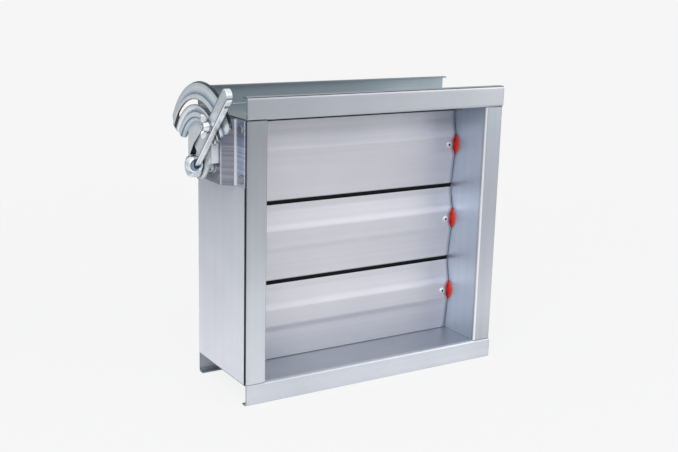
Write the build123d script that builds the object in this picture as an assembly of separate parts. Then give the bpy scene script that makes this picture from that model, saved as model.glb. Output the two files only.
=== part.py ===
"""Multi-blade volume control damper: flanged channel frame, three double-skin blades that turn
together on a hidden linkage, and a hand lever that locks on a slotted quadrant.

Frame of the part: millimetres, X across the airway, Y along the air flow (front face at -Y),
Z up.  The origin is the centre of the airway, on the axis of the middle blade.
"""
from build123d import *
from math import cos, radians, sin
import os

# ---------------------------------------------------------------- frame
opening_width = 300.0
opening_height = 300.0
frame_depth = 127.0
flange = 25.4
lip = 9.5
sheet = 1.5
bend = 1.5
tab_length = 12.0
tab_half_width = 45.0
corner_rivet_spacing = 60.0
overrun = 1.0

# ---------------------------------------------------------------- blades
blade_count = 3
blade_pitch = 96.5
blade_low = 53.0
blade_high = 39.0
skin = 0.8
blade_end_gap = 0.7
shoulder_reach = 17.0
shoulder_half = 4.7
housing_reach = 9.8
land_height = 6.0
seal_tongue = 1.2
seal_head = 3.9
seal_head_half = 1.2
fin_height = 4.6
fin_reach = 2.1
fin_thickness = 0.8
stop_sheet = 1.2
stop_leg = 12.0
stop_gap = 0.5

# ---------------------------------------------------------------- shafts, bushes and linkage
shaft_d = 12.7
running_clearance = 0.05
fixing_clearance = 0.02
bush_disc_r = 16.3
bush_disc = 2.5
bush_barrel_r = 9.5
bush_collar_r = 11.0
bush_collar = 2.5
bush_gap = 0.6
shaft_end_reach = 4.5
crank_throw = 25.0
crank_thickness = 4.5
crank_hub_r = 11.5
crank_end_r = 8.0
crank_gap = 1.0
crank_rest_angle = 45.0
crank_screw_r = 2.0
pin_r = 4.0
pin_groove_r = 3.0
tie_bar_thickness = 3.0
tie_bar_width = 16.0
link_gap = 0.5
clip_r = 7.0
clip_thickness = 1.0
clip_mouth = 4.8
pin_tail = 1.0

# ---------------------------------------------------------------- blade rivets
blade_rivet_inset = 12.0
rivet_r = 2.4
rivet_head_r = 4.8
rivet_head = 1.9
rivet_tail_r = 3.8
rivet_core_r = 1.3
rivet_core_depth = 1.9

# ---------------------------------------------------------------- side cover and lever bracket
cover_sheet = 1.2
cover_inset = 2.5
cover_return = 9.0
cover_return_half = 50.0
cover_end_gap = 0.2
shaft_window_r = 9.0
bracket_half_width = 35.0
bracket_height = 73.0
bracket_stand_off = 15.9
bracket_inset = 1.5
bracket_sheet = 1.5
screw_r = 2.1
screw_head_af = 8.0
screw_head = 3.2
screw_washer_r = 5.2
screw_washer = 1.0
screw_length = 9.0
screw_edge = 5.0
screw_spacing = 54.0
bearing_half_width = 25.0
bearing_half_height = 12.5
bearing_plate = 2.5
bearing_boss_r = 9.5
bearing_boss = 4.5
bearing_spigot_r = 10.0
bolt_offset = 16.5
bolt_r = 4.0
bolt_head_af = 13.0
bolt_head = 4.6
bolt_nut = 6.5
bolt_tail = 1.0

# ---------------------------------------------------------------- quadrant, lever and lock
quadrant_sheet = 1.6
quadrant_stand_off = 9.9
quadrant_r = 90.3
quadrant_front_angle = 58.5
quadrant_rear_angle = 62.5
quadrant_corner = 8.0
quadrant_foot_r = 19.0
stem_half_width = 30.0
stem_base = 4.0
slot_setback = 22.3
slot_half_width = 2.8
slot_play_angle = 0.5
rail_rise = 3.0
rail_near = 6.0
rail_far = 7.5
outer_valley = 10.3
outer_valley_rise = 0.4
rim_drop = 1.2
rim_corner = 1.5
inner_valley = 8.6
inner_valley_rise = 0.6
bead_rise = 2.2
bead_near = 11.4
bead_far = 16.6
bead_foot = 21.0
fan_inner_flat = 3.0
fan_overlap = 2.0
press_bend = 0.8
sweep_spare = 2.0
stem_hole_gap = 1.2
lever_rest_angle = 44.8
lever_travel = 90.0
lever_length = 126.0
lever_half_width = 8.0
lever_foot_rear = 12.2
lever_root_rear = 9.0
lever_foot_drop = 1.0
lever_taper_end = 58.0
lever_web_start = 23.0
lever_depth = 6.85
lever_sheet = 1.5
lever_gap = 0.6
relief_from_tip = 17.5
relief_width = 3.2
hub_r = 10.4
hub_tail = 5.0
hub_tail_r = 12.4
hub_length = 11.4
hub_edge = 3.0
shaft_recess = 0.6
hub_screw_r = 3.0
hub_screw_proud = 1.0
lock_bolt_r = 2.5
lock_head_r = 5.0
lock_head = 2.2
lock_washer_r = 7.0
lock_washer = 1.2
lock_tail = 1.0
wing_base_r = 5.6
wing_top_r = 4.3
wing_hub = 6.4
wing_span_half = 13.5
wing_rise = 10.0
wing_thickness = 2.4
wing_tip_r = 3.4

# ---------------------------------------------------------------- places worked out from them
half_w = opening_width / 2
half_h = opening_height / 2
half_d = frame_depth / 2
shaft_r = shaft_d / 2
housing_half = shaft_r + skin
drive_z = blade_pitch * (blade_count - 1) / 2
axis_heights = {
    "top": drive_z,
    "middle": drive_z - blade_pitch,
    "bottom": drive_z - 2 * blade_pitch,
}
web_back = half_w + sheet
cover_in = half_w + flange
cover_out = cover_in + cover_sheet
bracket_out = cover_out + bracket_stand_off
quadrant_out = bracket_out + quadrant_stand_off
lever_in = quadrant_out + rail_rise + lever_gap
lever_out = lever_in + lever_depth
hub_in = quadrant_out + lever_gap
hub_out = hub_in + hub_length
crank_in = web_back + bush_collar + crank_gap
crank_out = crank_in + crank_thickness
bar_in = crank_out + link_gap
bar_out = bar_in + tie_bar_thickness
clip_in = bar_out + link_gap
clip_out = clip_in + clip_thickness
rail_crest = quadrant_out + rail_rise
slot_r = quadrant_r - slot_setback
quadrant_inner_r = slot_r - bead_foot - fan_inner_flat
bracket_top = half_h
bracket_base = bracket_top - bracket_height
bracket_toe = half_d - bracket_inset
screw_y = bracket_toe - screw_edge
screw_mid = (bracket_top + bracket_base) / 2
screw_places = [
    (i * screw_y, screw_mid + j * screw_spacing / 2) for i in (-1, 1) for j in (-1, 1)
]
DRIVE_AXIS = Axis((0, 0, drive_z), (1, 0, 0))

parts = {}


# ---------------------------------------------------------------- shared forms
def rod(x_from, x_to, radius, y=0.0, z=0.0):
    """A round bar along X between two stations."""
    plane = Plane(origin=(min(x_from, x_to), y, z), z_dir=(1, 0, 0))
    return extrude(plane * Circle(radius), abs(x_to - x_from))


def upright(z_from, z_to, radius, x=0.0, y=0.0):
    """A round bar along Z between two heights."""
    return extrude(Pos(x, y, min(z_from, z_to)) * Circle(radius), abs(z_to - z_from))


def block(x_from, x_to, y_from, y_to, z_from, z_to):
    """A rectangular block between two corners."""
    centre = Pos((x_from + x_to) / 2, (y_from + y_to) / 2, (z_from + z_to) / 2)
    return centre * Box(abs(x_to - x_from), abs(y_to - y_from), abs(z_to - z_from))


def folded(outer, inner, outer_radii, inner_radii):
    """Section of folded sheet between an outer and an inner path that run side by side."""
    skin_out = FilletPolyline(*outer, radius=outer_radii)
    skin_in = FilletPolyline(*inner, radius=inner_radii)
    ends = [Line(outer[0], inner[0]), Line(outer[-1], inner[-1])]
    return make_face([skin_out, skin_in, *ends])


def side_plane(station):
    """Sketch plane square to X at a station left of the airway, drawn with Y across and Z up."""
    return Plane(origin=(-station, 0, 0), x_dir=(0, 1, 0), z_dir=(1, 0, 0))


def slab(sketch, w_in, w_out):
    """A plate from a (Y, Z) sketch, between two distances left of the centre."""
    return extrude(side_plane(w_out) * sketch, w_out - w_in)


def swing(shape, angle):
    """Turn a shape made upright over the drive shaft: positive angles go towards the rear."""
    return shape.rotate(DRIVE_AXIS, -angle)


# ---------------------------------------------------------------- frame channels
def channel_section():
    """Hat section: web along the airway, flanges outward, lips turned back over the hollow."""
    d, f = half_d, flange
    outer = [(lip - d, f), (-d, f), (-d, 0), (d, 0), (d, f), (d - lip, f)]
    e, g = d - sheet, f - sheet
    inner = [(lip - d, g), (-e, g), (-e, sheet), (e, sheet), (e, g), (d - lip, g)]
    return folded(outer, inner, bend + sheet, bend)


def long_channel(side):
    """Top (+1) or bottom (-1) channel, over the whole width, with holes for the corner rivets."""
    reach = half_w + flange
    plane = Plane(origin=(-side * reach, 0, side * half_h), x_dir=(0, 1, 0), z_dir=(side, 0, 0))
    body = extrude(plane * channel_section(), 2 * reach)
    for x, y in corner_rivet_places():
        body -= upright(side * (half_h - sheet), side * (half_h + 2 * sheet), rivet_r, x, y)
    return body


def side_channel(side):
    """Left (-1) or right (+1) channel between the webs, with folded tabs for the corner rivets.

    The left one is also drilled through its lips for the screws of the lever bracket.
    """
    plane = Plane(origin=(side * half_w, 0, side * half_h), x_dir=(0, 1, 0), z_dir=(0, 0, -side))
    body = extrude(plane * channel_section(), 2 * half_h)
    for end in (-1, 1):
        body += block(
            side * half_w, side * (web_back + tab_length), -tab_half_width, tab_half_width,
            end * (half_h - sheet), end * half_h,
        )
    for x, y in corner_rivet_places():
        if x * side > 0:
            body -= upright(-half_h - sheet, half_h + sheet, rivet_r, x, y)
    for z in axis_heights.values():
        body -= rod(side * (half_w - overrun), side * (web_back + overrun), bush_barrel_r, z=z)
    if side < 0:
        for y, z in screw_places:
            body -= rod(-cover_in + 2 * sheet, -cover_in, screw_r, y=y, z=z)
    return body


def corner_rivet_places():
    """Plan positions of the two rivets at each corner of the frame."""
    x = web_back + tab_length / 2
    y = corner_rivet_spacing / 2
    return [(i * x, j * y) for i in (-1, 1) for j in (-1, 1)]


def dome(radius, height):
    """Low round head standing on the plane z = 0."""
    cap_r = (radius * radius + height * height) / (2 * height)
    ball = Pos(0, 0, height - cap_r) * Sphere(cap_r)
    return ball & (Pos(0, 0, height / 2) * Box(3 * radius, 3 * radius, height))


def corner_rivets():
    """Eight solid rivets that join the side channels' tabs to the long channels' webs."""
    found = []
    for x, y in corner_rivet_places():
        for end in (-1, 1):
            head = dome(rivet_head_r, rivet_head)
            shank = upright(-2 * sheet, 0, rivet_r)
            tail = upright(-2 * sheet - rivet_head / 2, -2 * sheet, rivet_tail_r)
            rivet = head + shank + tail
            turned = rivet if end > 0 else Rot(180, 0, 0) * rivet
            found.append(Pos(x, y, end * (half_h + sheet)) * turned)
    return Compound(found)


parts["frame_top_channel"] = long_channel(1)
parts["frame_bottom_channel"] = long_channel(-1)
parts["frame_left_channel"] = side_channel(-1)
parts["frame_right_channel"] = side_channel(1)
parts["corner_rivets"] = corner_rivets()


# ---------------------------------------------------------------- blade stops
def angle_strip(y_leg, z_web, away):
    """Angle along the width: one leg stands off the web at y_leg, the other lies on the web."""
    reach = half_w - blade_end_gap
    foot_z = z_web + away * stop_sheet
    leg = block(-reach, reach, y_leg, y_leg + stop_sheet, z_web, z_web + away * stop_leg)
    foot = block(-reach, reach, y_leg, y_leg + stop_leg, z_web, foot_z)
    return leg + foot


stop_leg_top = half_h - drive_z - blade_high - seal_head - stop_gap
wing_slope = (shoulder_half - skin) / (blade_low - shoulder_reach)


def top_stop():
    """The strip that the top blade's seal closes on, where the lower edge of a blade would be."""
    strip = angle_strip(-stop_sheet / 2, half_h, -1)
    lower = half_h - stop_leg_top
    return strip - block(-half_w, half_w, -half_d, half_d, lower, lower - stop_leg)


parts["top_blade_stop"] = top_stop()
parts["bottom_blade_stop"] = angle_strip(skin + wing_slope * stop_leg, -half_h, 1)


# ---------------------------------------------------------------- blades
blade_rivet_stations = [side * (half_w - blade_rivet_inset) for side in (-1, 1)]


def blade_profile(inset):
    """Half thickness of the blade against height over its axis, less an inset for the wall."""
    return [
        (-blade_low, skin - inset),
        (-shoulder_reach, shoulder_half - inset),
        (-housing_reach, housing_half - inset),
        (housing_reach, housing_half - inset),
        (shoulder_reach, shoulder_half - inset),
        (blade_high - land_height, seal_tongue / 2 + skin - inset),
        (blade_high, seal_tongue / 2 + skin - inset),
    ]


def blade_skin(face, z):
    """One pressed skin, front (-1) or rear (+1), with round notches that clear the bushes."""
    outer = [(face * half, z + rise) for rise, half in blade_profile(0)]
    inner = [(face * half, z + rise) for rise, half in blade_profile(skin)]
    reach = half_w - blade_end_gap
    plane = Plane(origin=(-reach, 0, 0), x_dir=(0, 1, 0), z_dir=(1, 0, 0))
    body = extrude(plane * folded(outer, inner, skin, skin / 2), 2 * reach)
    notch_from = half_w - bush_disc - bush_gap
    for side in (-1, 1):
        body -= rod(side * notch_from, side * half_w, bush_disc_r + bush_gap, z=z)
    for x in blade_rivet_stations:
        body -= along_y(x, z, -half_d, half_d, rivet_r)
    return body


def along_y(x, z, y_from, y_to, radius):
    """A round bar along Y between two depths."""
    plane = Plane(origin=(x, min(y_from, y_to), z), x_dir=(1, 0, 0), z_dir=(0, 1, 0))
    return extrude(plane * Circle(radius), abs(y_to - y_from))


def blade_rivets(z):
    """Two blind rivets through both skins and the shaft: domed head in front, bulb behind."""
    found = []
    for x in blade_rivet_stations:
        head = Rot(90, 0, 0) * dome(rivet_head_r, rivet_head)
        head = Pos(x, -housing_half, z) * head
        shank = along_y(x, z, -housing_half, housing_half, rivet_r)
        bulb = along_y(x, z, housing_half, housing_half + rivet_head, rivet_tail_r)
        core_from = -housing_half - rivet_head
        core = along_y(x, z, core_from, core_from + rivet_core_depth, rivet_core_r)
        found.append(head + shank + bulb - core)
    return Compound(found)


def blade_seal(z):
    """Extruded rubber strip: a tongue between the skins, a square head, a fin leaning back."""
    edge = z + blade_high
    root = edge - land_height
    top = edge + seal_head
    half = seal_tongue / 2
    head = seal_head_half
    section = Polyline(
        (-half, root), (-half, edge), (-head, edge), (-head, top),
        (head, top), (fin_reach, top + fin_height),
        (fin_reach + fin_thickness, top + fin_height), (head + fin_thickness, top - fin_thickness),
        (head, top - 2 * fin_thickness), (head, edge), (half, edge), (half, root), close=True,
    )
    reach = half_w - blade_end_gap
    plane = Plane(origin=(-reach, 0, 0), x_dir=(0, 1, 0), z_dir=(1, 0, 0))
    return extrude(plane * make_face(section), 2 * reach)


def shaft(z, left_end):
    """Round steel shaft through the blade, cross-drilled for its two rivets."""
    right_end = web_back + bush_collar + shaft_end_reach
    body = rod(-left_end, right_end, shaft_r, z=z)
    for x in blade_rivet_stations:
        body -= along_y(x, z, -shaft_r - overrun, shaft_r + overrun, rivet_r)
    return body


axle_end = clip_out + pin_tail
left_ends = {"top": hub_out - shaft_recess, "middle": axle_end, "bottom": axle_end}
for name, height in axis_heights.items():
    parts[f"blade_{name}_front_skin"] = blade_skin(-1, height)
    parts[f"blade_{name}_rear_skin"] = blade_skin(1, height)
    parts[f"blade_{name}_seal"] = blade_seal(height)
    parts[f"blade_{name}_rivets"] = blade_rivets(height)
    shaft_node = "drive_shaft" if name == "top" else f"axle_{name}"
    parts[shaft_node] = shaft(height, left_ends[name])


# ---------------------------------------------------------------- bushes
def bushes(side):
    """Three moulded bushes on one side: a disc in the airway, a barrel through the web, a collar."""
    found = []
    for z in axis_heights.values():
        disc = rod(side * (half_w - bush_disc), side * half_w, bush_disc_r, z=z)
        barrel = rod(side * half_w, side * (web_back + bush_collar), bush_barrel_r, z=z)
        collar = rod(side * web_back, side * (web_back + bush_collar), bush_collar_r, z=z)
        bore = rod(side * half_w / 2, side * 2 * half_w, shaft_r + running_clearance, z=z)
        found.append(disc + barrel + collar - bore)
    return Compound(found)


parts["bushes_left"] = bushes(-1)
parts["bushes_right"] = bushes(1)


# ---------------------------------------------------------------- cranks and tie bar
pin_y = crank_throw * sin(radians(crank_rest_angle))
pin_rise = crank_throw * cos(radians(crank_rest_angle))


def crank(z):
    """Flat crank on the shaft behind the left web, with a hole for its pin and its set screw."""
    hub = Pos(0, z) * Circle(crank_hub_r)
    end = Pos(pin_y, z + pin_rise) * Circle(crank_end_r)
    body = slab(make_hull([*hub.edges(), *end.edges()]), crank_in, crank_out)
    body -= rod(-crank_in / 2, -2 * crank_in, shaft_r + fixing_clearance, z=z)
    body -= rod(-crank_in / 2, -2 * crank_in, pin_r, y=pin_y, z=z + pin_rise)
    return body - set_screw_bar(z, shaft_r)


def set_screw_bar(z, inner_r):
    """The set screw's cylinder, level, from the shaft out through the front of the crank's hub."""
    middle = -(crank_in + crank_out) / 2
    return along_y(middle, z, -crank_hub_r - overrun, -inner_r, crank_screw_r)


def crank_pin(z):
    """Shouldered pin fixed in the crank, grooved for its clip."""
    y, height = pin_y, z + pin_rise
    body = rod(-crank_in, -clip_out - pin_tail, pin_r, y=y, z=height)
    groove = rod(-clip_in, -clip_out, pin_r, y=y, z=height)
    groove -= rod(-clip_in, -clip_out, pin_groove_r, y=y, z=height)
    return body - groove


def crank_clip(z):
    """Open spring clip in the pin's groove, outside the tie bar."""
    y, height = pin_y, z + pin_rise
    ring = rod(-clip_in, -clip_out, clip_r, y=y, z=height)
    ring -= rod(-clip_in, -clip_out, pin_groove_r, y=y, z=height)
    low, high = height - clip_mouth / 2, height + clip_mouth / 2
    return ring - block(-clip_in, -clip_out, y, y + 2 * clip_r, low, high)


def tie_bar():
    """Flat bar over the three crank pins, with rounded ends."""
    top = drive_z + pin_rise
    bottom = axis_heights["bottom"] + pin_rise
    middle = Pos(pin_y, (top + bottom) / 2) * Rot(0, 0, 90)
    body = slab(middle * SlotCenterToCenter(top - bottom, tie_bar_width), bar_in, bar_out)
    for z in axis_heights.values():
        body -= rod(-bar_in / 2, -2 * bar_in, pin_r + running_clearance, y=pin_y, z=z + pin_rise)
    return body


for name, height in axis_heights.items():
    parts[f"crank_{name}"] = crank(height)
    parts[f"crank_screw_{name}"] = set_screw_bar(height, shaft_r)
    parts[f"crank_pin_{name}"] = crank_pin(height)
    parts[f"crank_clip_{name}"] = crank_clip(height)
parts["tie_bar"] = tie_bar()


# ---------------------------------------------------------------- side cover and lever bracket
def side_cover():
    """Flat sheet over the linkage with short returns hooked inside the top and bottom webs."""
    across = half_d - cover_inset
    height = half_h - cover_end_gap
    body = block(-cover_in, -cover_out, -across, across, -height, height)
    for end in (-1, 1):
        body += block(
            -cover_in + cover_return, -cover_in, -cover_return_half, cover_return_half,
            end * (height - cover_sheet), end * height,
        )
    body -= rod(-cover_in / 2, -2 * cover_in, shaft_window_r, z=drive_z)
    for y, z in screw_places:
        body -= rod(-cover_in + overrun, -cover_out - overrun, screw_r, y=y, z=z)
    return body


def lever_bracket():
    """Hat-section bracket that holds the quadrant clear of the cover."""
    a, h, s = bracket_half_width, bracket_stand_off, bracket_sheet
    b, toe = a - s, bracket_toe
    outer = [(-toe, s), (-a, s), (-a, h), (a, h), (a, s), (toe, s)]
    inner = [(-toe, 0), (-b, 0), (-b, h - s), (b, h - s), (b, 0), (toe, 0)]
    tight, wide = bend, bend + s
    section = folded(outer, inner, [tight, wide, wide, tight], [wide, tight, tight, wide])
    plane = Plane(origin=(-cover_out, 0, bracket_base), x_dir=(0, 1, 0), z_dir=(0, 0, 1))
    body = extrude(plane * section, bracket_height)
    for y, z in screw_places:
        body -= rod(-cover_out + overrun, -cover_out - 2 * s, screw_r, y=y, z=z)
    body -= rod(-cover_out - s, -bracket_out - overrun, bearing_spigot_r, z=drive_z)
    for i in (-1, 1):
        bolt_y = i * bolt_offset
        body -= rod(-cover_out - s, -bracket_out - overrun, bolt_r, y=bolt_y, z=drive_z)
    return body


def hexagon(across_flats):
    """Hexagon by its size across the flats, with flats to the left and right."""
    return Rot(0, 0, 30) * RegularPolygon(across_flats / 2, 6, major_radius=False)


def bracket_screws():
    """Four hexagon-head sheet screws with pressed washers, through foot, cover and lip."""
    seat = cover_out + bracket_sheet
    found = []
    for y, z in screw_places:
        shank = rod(-seat, -seat + screw_length, screw_r, y=y, z=z)
        washer = rod(-seat, -seat - screw_washer, screw_washer_r, y=y, z=z)
        head = slab(Pos(y, z) * hexagon(screw_head_af), seat + screw_washer, seat + screw_head)
        found.append(shank + washer + head)
    return Compound(found)


def outer_bearing():
    """Two-bolt flange bearing on the bracket that carries the drive shaft's outer end."""
    plate = make_hull(
        [
            *(Pos(0, drive_z) * Circle(bearing_half_height)).edges(),
            *(Pos(bolt_offset, drive_z) * Circle(bearing_half_width - bolt_offset)).edges(),
            *(Pos(-bolt_offset, drive_z) * Circle(bearing_half_width - bolt_offset)).edges(),
        ]
    )
    body = slab(plate, bracket_out, bracket_out + bearing_plate)
    body += rod(-bracket_out, -bracket_out - bearing_plate - bearing_boss, bearing_boss_r, z=drive_z)
    body += rod(-bracket_out + bracket_sheet, -bracket_out, bearing_spigot_r, z=drive_z)
    body -= rod(-cover_out, -hub_out, shaft_r + running_clearance, z=drive_z)
    for i in (-1, 1):
        body -= rod(-cover_out, -hub_out, bolt_r, y=i * bolt_offset, z=drive_z)
    return body


def bearing_bolts():
    """The two hexagon bolts of the flange bearing."""
    seat = bracket_out + bearing_plate
    tip = bracket_out - bracket_sheet - bolt_nut - bolt_tail
    found = []
    for i in (-1, 1):
        y = i * bolt_offset
        head = slab(Pos(y, drive_z) * hexagon(bolt_head_af), seat, seat + bolt_head)
        found.append(head + rod(-seat, -tip, bolt_r, y=y, z=drive_z))
    return Compound(found)


def bearing_nuts():
    """Nuts of the flange bearing, inside the bracket."""
    seat = bracket_out - bracket_sheet
    found = []
    for i in (-1, 1):
        y = i * bolt_offset
        nut = slab(Pos(y, drive_z) * hexagon(bolt_head_af), seat - bolt_nut, seat)
        found.append(nut - rod(-seat + 2 * bolt_nut, -seat - overrun, bolt_r, y=y, z=drive_z))
    return Compound(found)


parts["side_cover"] = side_cover()
parts["lever_bracket"] = lever_bracket()
parts["bracket_screws"] = bracket_screws()
parts["outer_bearing"] = outer_bearing()
parts["bearing_bolts"] = bearing_bolts()
parts["bearing_nuts"] = bearing_nuts()


# ---------------------------------------------------------------- quadrant
def polar(radius, angle):
    """Point at a radius over the drive shaft: angle from upright, positive to the rear."""
    return (radius * sin(radians(angle)), drive_z + radius * cos(radians(angle)))


def sector(inner, outer, front, rear):
    """Ring sector between two radii, from an angle in front of upright to one behind."""
    mid = (rear - front) / 2
    arcs = [
        ThreePointArc(polar(radius, -front), polar(radius, mid), polar(radius, rear))
        for radius in (inner, outer)
    ]
    ends = [Line(polar(inner, a), polar(outer, a)) for a in (-front, rear)]
    return make_face([*arcs, *ends])


def fan_section():
    """Radial section of the fan: flat, inner bead, raised rail for the slot, valley, rim."""
    bead = quadrant_out + bead_rise
    rim = quadrant_out - rim_drop
    wave = [
        (quadrant_inner_r - overrun, quadrant_out), (slot_r - bead_foot, quadrant_out),
        (slot_r - bead_far, bead), (slot_r - bead_near, bead),
        (slot_r - inner_valley, quadrant_out + inner_valley_rise),
        (slot_r - rail_near, rail_crest), (slot_r + rail_far, rail_crest),
        (slot_r + outer_valley, quadrant_out + outer_valley_rise),
    ]
    hem = rim - 2 * quadrant_sheet
    rim_r = quadrant_r - rim_corner
    outer = [*wave, (rim_r, rim), (quadrant_r, hem)]
    inner = [(r, w - quadrant_sheet) for r, w in wave]
    inner += [(rim_r - quadrant_sheet, rim - quadrant_sheet / 2), (quadrant_r - quadrant_sheet, hem)]
    as_places = [[(-w, drive_z + r) for r, w in path] for path in (outer, inner)]
    return folded(*as_places, press_bend, press_bend)


def fan():
    """Beaded fan of the quadrant with rounded ends."""
    section = Plane(origin=(0, 0, 0), x_dir=(1, 0, 0), z_dir=(0, -1, 0)) * fan_section()
    spread = quadrant_front_angle + quadrant_rear_angle + 2 * sweep_spare
    ring = revolve(swing(section, -quadrant_front_angle - sweep_spare), DRIVE_AXIS, -spread)
    outline = sector(quadrant_inner_r, quadrant_r, quadrant_front_angle, quadrant_rear_angle)
    outline = fillet(outline.vertices(), quadrant_corner)
    return ring & slab(outline, bracket_out, rail_crest + overrun)


def stem():
    """Flat stem of the quadrant over the drive shaft, with side walls down to the bracket."""
    side = stem_half_width
    shoulder = drive_z + stem_base
    head_r = quadrant_inner_r + fan_overlap
    head = drive_z + head_r
    foot = (Pos(0, drive_z) * Circle(quadrant_foot_r)).edges()
    sides = [Line((-side, shoulder), (side, shoulder))]
    outline = make_hull([*foot, *sides])
    outline += Pos(0, (shoulder + head) / 2) * Rectangle(2 * side, head - shoulder)
    reach = (Pos(0, drive_z) * Circle(head_r)).face()
    web = slab(outline & reach, quadrant_out - quadrant_sheet, quadrant_out)
    top = drive_z + (quadrant_inner_r ** 2 - side ** 2) ** 0.5
    walls = None
    for i in (-1, 1):
        y_in = i * (side - quadrant_sheet)
        wall = block(-bracket_out, -quadrant_out, y_in, i * side, shoulder, top)
        walls = wall if walls is None else walls + wall
    return web + walls


def quadrant():
    """The pressed quadrant: fan and stem in one sheet, with the curved slot for the lock bolt."""
    body = fan() + stem()
    front = -lever_rest_angle - slot_play_angle
    rear = lever_travel - lever_rest_angle + slot_play_angle
    mid = (front + rear) / 2
    path = ThreePointArc(polar(slot_r, front), polar(slot_r, mid), polar(slot_r, rear))
    body -= slab(SlotArc(path, 2 * slot_half_width), bracket_out, lever_out)
    return body - rod(-bracket_out, -lever_out, shaft_r + stem_hole_gap, z=drive_z)


parts["quadrant"] = quadrant()


# ---------------------------------------------------------------- lever
def lever_outline(inset):
    """Outline of the lever made upright: straight front edge, foot flared behind, round tip."""
    slim, flare = lever_half_width - inset, lever_foot_rear - inset
    root, low = lever_root_rear - inset, drive_z - lever_foot_drop - inset
    tip = drive_z + lever_length - lever_half_width
    rear = [(slim, tip), (slim, drive_z + lever_taper_end), (flare, drive_z + lever_web_start)]
    rear += [(root, low)]
    front = [(-slim, low), (-slim, tip)]
    crown = ThreePointArc(front[-1], (0, tip + slim), rear[0])
    return make_face([Polyline(*front), crown, Polyline(*rear), Line(rear[-1], front[0])])


def lever():
    """Pressed channel lever; its walls run down beside the hub and its web stops above it."""
    body = slab(lever_outline(0), lever_in, lever_out)
    body = fillet(body.faces().sort_by(Axis.X)[0].edges(), lever_sheet)
    body -= slab(lever_outline(lever_sheet), lever_in, lever_out - lever_sheet)
    through = slab(lever_outline(lever_sheet), lever_in - overrun, lever_out + overrun)
    low, high = drive_z - 2 * hub_r, drive_z + lever_web_start
    body -= through & block(-lever_in, -lever_out - overrun, -2 * hub_r, 2 * hub_r, low, high)
    relief = drive_z + lever_length - relief_from_tip
    for i in (-1, 1):
        body -= block(
            -lever_in + overrun, -lever_out + lever_sheet, i * (lever_half_width - 2 * lever_sheet),
            i * 2 * lever_half_width, relief, relief + relief_width,
        )
    body -= slab(hub_outline(), lever_in - overrun, lever_out + overrun)
    hole_r = lock_bolt_r + running_clearance
    body -= rod(-lever_in, -lever_out - overrun, hole_r, z=drive_z + slot_r)
    return swing(body, -lever_rest_angle)


hub_screw_end = drive_z - hub_tail - hub_tail_r - hub_screw_proud


def hub_outline():
    """Outline of the lever's hub: round over the shaft, drawn out a little below it."""
    upper = (Pos(0, drive_z) * Circle(hub_r)).edges()
    lower = (Pos(0, drive_z - hub_tail) * Circle(hub_tail_r)).edges()
    return make_hull([*upper, *lower])


def lever_hub():
    """Hub on the drive shaft, with a tapped hole from below for its set screw."""
    body = slab(hub_outline(), hub_in, hub_out)
    body = fillet(body.faces().sort_by(Axis.X)[0].edges(), hub_edge)
    body -= rod(-hub_in + overrun, -hub_out - overrun, shaft_r + fixing_clearance, z=drive_z)
    return swing(body - hub_screw_bar(), -lever_rest_angle)


def hub_screw_bar():
    """Cylinder of the hub's set screw, from the shaft down through the hub's tail."""
    middle = -(hub_in + hub_out) / 2
    return upright(drive_z - shaft_r, hub_screw_end, hub_screw_r, middle)


def hub_screw():
    """Socket set screw of the hub."""
    middle = -(hub_in + hub_out) / 2
    socket = extrude(Pos(middle, 0, hub_screw_end) * hexagon(hub_screw_r), hub_screw_r)
    seated = hub_screw_bar() - rod(-hub_in + overrun, -hub_out - overrun, shaft_r, z=drive_z)
    return swing(seated - socket, -lever_rest_angle)


parts["lever"] = lever()
parts["lever_hub"] = lever_hub()
parts["hub_set_screw"] = hub_screw()


# ---------------------------------------------------------------- lock bolt and wing nut
lock_y, lock_z = polar(slot_r, -lever_rest_angle)
washer_out = lever_out + lock_washer
nut_out = washer_out + wing_hub


def lock_bolt():
    """Round-head bolt from behind the slot, through the lever and its washer."""
    seat = rail_crest - quadrant_sheet - running_clearance
    head = Pos(-seat, lock_y, lock_z) * Rot(0, 90, 0) * dome(lock_head_r, lock_head)
    return head + rod(-seat, -nut_out - lock_tail, lock_bolt_r, y=lock_y, z=lock_z)


def washer():
    """Plain washer between lever and wing nut."""
    disc = rod(-lever_out, -washer_out, lock_washer_r, y=lock_y, z=lock_z)
    hole_r = lock_bolt_r + fixing_clearance
    return disc - rod(-lever_out, -washer_out, hole_r, y=lock_y, z=lock_z)


def wing_nut():
    """Wing nut: coned hub and two rounded wings, one up and one down."""
    cone = Plane(origin=(-washer_out, lock_y, lock_z), z_dir=(-1, 0, 0))
    body = loft([cone * Circle(wing_base_r), cone.offset(wing_hub) * Circle(wing_top_r)])
    for i in (-1, 1):
        tip = Pos(-washer_out - wing_rise + wing_tip_r, i * (wing_span_half - wing_tip_r))
        root = Pos(-washer_out - wing_hub / 2, i * wing_top_r / 2) * Circle(wing_hub / 2)
        outline = make_hull([*(tip * Circle(wing_tip_r)).edges(), *root.edges()])
        plane = Plane(
            origin=(0, lock_y + wing_thickness / 2, lock_z), x_dir=(1, 0, 0), z_dir=(0, -1, 0)
        )
        body += extrude(plane * outline, wing_thickness)
    bore_r = lock_bolt_r + running_clearance
    return body - rod(-washer_out + overrun, -nut_out - wing_rise, bore_r, y=lock_y, z=lock_z)


parts["lock_bolt"] = lock_bolt()
parts["lock_washer"] = washer()
parts["wing_nut"] = wing_nut()

# ---------------------------------------------------------------- one file for each piece
os.makedirs("parts", exist_ok=True)
for node, shape in parts.items():
    export_step(shape, f"parts/{node}.step")
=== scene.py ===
"""Looks of a three-blade volume control damper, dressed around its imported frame, in metres."""

import bmesh
import bpy
import numpy as np
from mathutils import Matrix, Vector


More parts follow.
